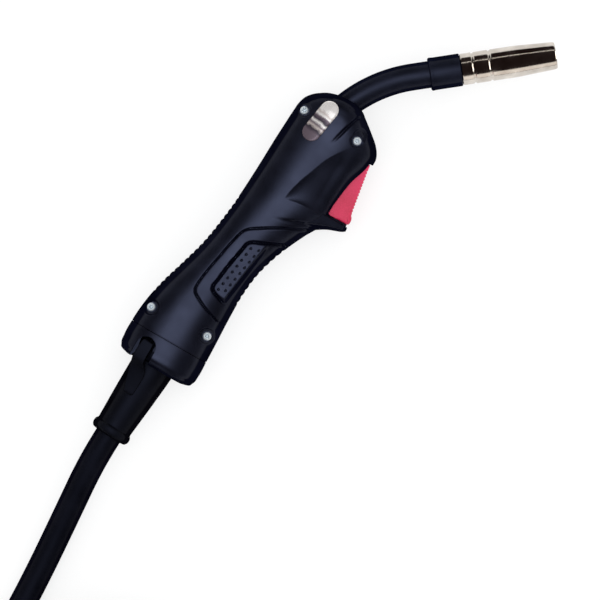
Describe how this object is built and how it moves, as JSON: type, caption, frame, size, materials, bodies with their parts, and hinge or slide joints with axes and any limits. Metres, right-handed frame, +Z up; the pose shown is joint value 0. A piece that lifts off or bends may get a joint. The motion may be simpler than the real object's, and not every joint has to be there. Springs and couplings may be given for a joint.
{
  "type": "mig welding torch",
  "caption": "MIG welding torch lying on its side: two-part pistol-less grip with red trigger, swan neck, gas nozzle, and coiled cable with its machine-end plug.",
  "frame": {"origin": "on the resting face, straight below the centre of the ball joint at the rear of the handle", "axes": "+X along the handle towards the nozzle, +Y the back of the grip, -Y the trigger side, +Z up, square to the torch's plane of symmetry"},
  "size_m": [0.6725, 0.2475, 0.043],
  "materials": {
    "shell_plastic": "satin moulded glass-filled nylon, black with a blue cast",
    "rubber": "matt black rubber",
    "trigger_red": "crimson moulded plastic, semi-gloss",
    "nickel": "polished nickel plate",
    "zinc": "bright zinc plate",
    "brass": "turned brass",
    "copper": "turned copper alloy",
    "spring_steel": "drawn spring steel",
    "switch_plastic": "moulded",
    "wire_insulation": "smooth PVC",
    "strap": "woven hook-and-loop strap"
  },
  "bodies": {
    "handle": {"handle_shell_lower": "shell_plastic", "handle_shell_upper": "shell_plastic", "rear_collar": "shell_plastic", "badge_plate": "nickel", "shell_screw_1": "zinc", "shell_screw_2": "zinc", "shell_screw_3": "zinc", "shell_screw_4": "zinc", "trigger_pin": "spring_steel", "trigger_spring": "spring_steel", "microswitch_body": "switch_plastic", "switch_lead_1": "wire_insulation", "switch_lead_2": "wire_insulation", "power_lead": "rubber", "cable_nipple": "brass", "neck_block": "brass", "neck_clamp_screw": "zinc", "neck_tube": "copper", "neck_sleeve": "rubber", "wire_liner": "spring_steel", "insulator_sleeve": "rubber", "nozzle_spring": "spring_steel", "tip_adapter": "brass", "contact_tip": "copper"},
    "trigger": {"trigger_lever": "trigger_red"},
    "plunger": {"switch_plunger": "trigger_red"},
    "nozzle": {"gas_nozzle": "nickel"},
    "cable": {"ball_joint": "shell_plastic", "bend_boot": "rubber", "cable_lead": "rubber", "cable_coil": "rubber", "cable_tail": "rubber", "coil_tie_1": "strap", "coil_tie_2": "strap", "coil_tie_3": "strap", "plug_bend_support": "rubber", "plug_housing": "shell_plastic", "plug_contact": "brass"},
    "nut": {"plug_nut": "shell_plastic"},
    "pin_1": {"signal_pin_1": "brass"},
    "pin_2": {"signal_pin_2": "brass"}
  },
  "joints": [
    {"name": "trigger_press", "type": "hinge", "parent": "handle", "child": "trigger", "pos_m": [0.145, -0.043, 0.02], "axis": [0, 0, -1], "range_deg": [0, 6], "stiffness_Nm_per_rad": 0.5, "springref_deg": -11.46},
    {"name": "switch_press", "type": "slide", "parent": "handle", "child": "plunger", "axis": [0, 1, 0], "range_m": [0, 0.0016]},
    {"name": "cable_swivel", "type": "hinge", "parent": "handle", "child": "cable", "pos_m": [0, 0, 0.02], "axis": [0, 0, 1], "range_deg": [-7, 13]},
    {"name": "nozzle_pull", "type": "slide", "parent": "handle", "child": "nozzle", "axis": [0.6239, -0.7815, 0], "range_m": [0, 0.06]},
    {"name": "plug_nut_turn", "type": "hinge", "parent": "cable", "child": "nut", "pos_m": [-0.39, -0.1984, 0.0215], "axis": [0, -1, 0], "continuous": true},
    {"name": "signal_pin_1_press", "type": "slide", "parent": "cable", "child": "pin_1", "axis": [0, 1, 0], "range_m": [0, 0.003], "stiffness_N_per_m": 300, "springref_m": -0.002},
    {"name": "signal_pin_2_press", "type": "slide", "parent": "cable", "child": "pin_2", "axis": [0, 1, 0], "range_m": [0, 0.003], "stiffness_N_per_m": 300, "springref_m": -0.002}
  ],
  "couplings": [
    {"joint": "switch_press", "follows": "trigger_press", "m_per_rad": 0.015}
  ]
}
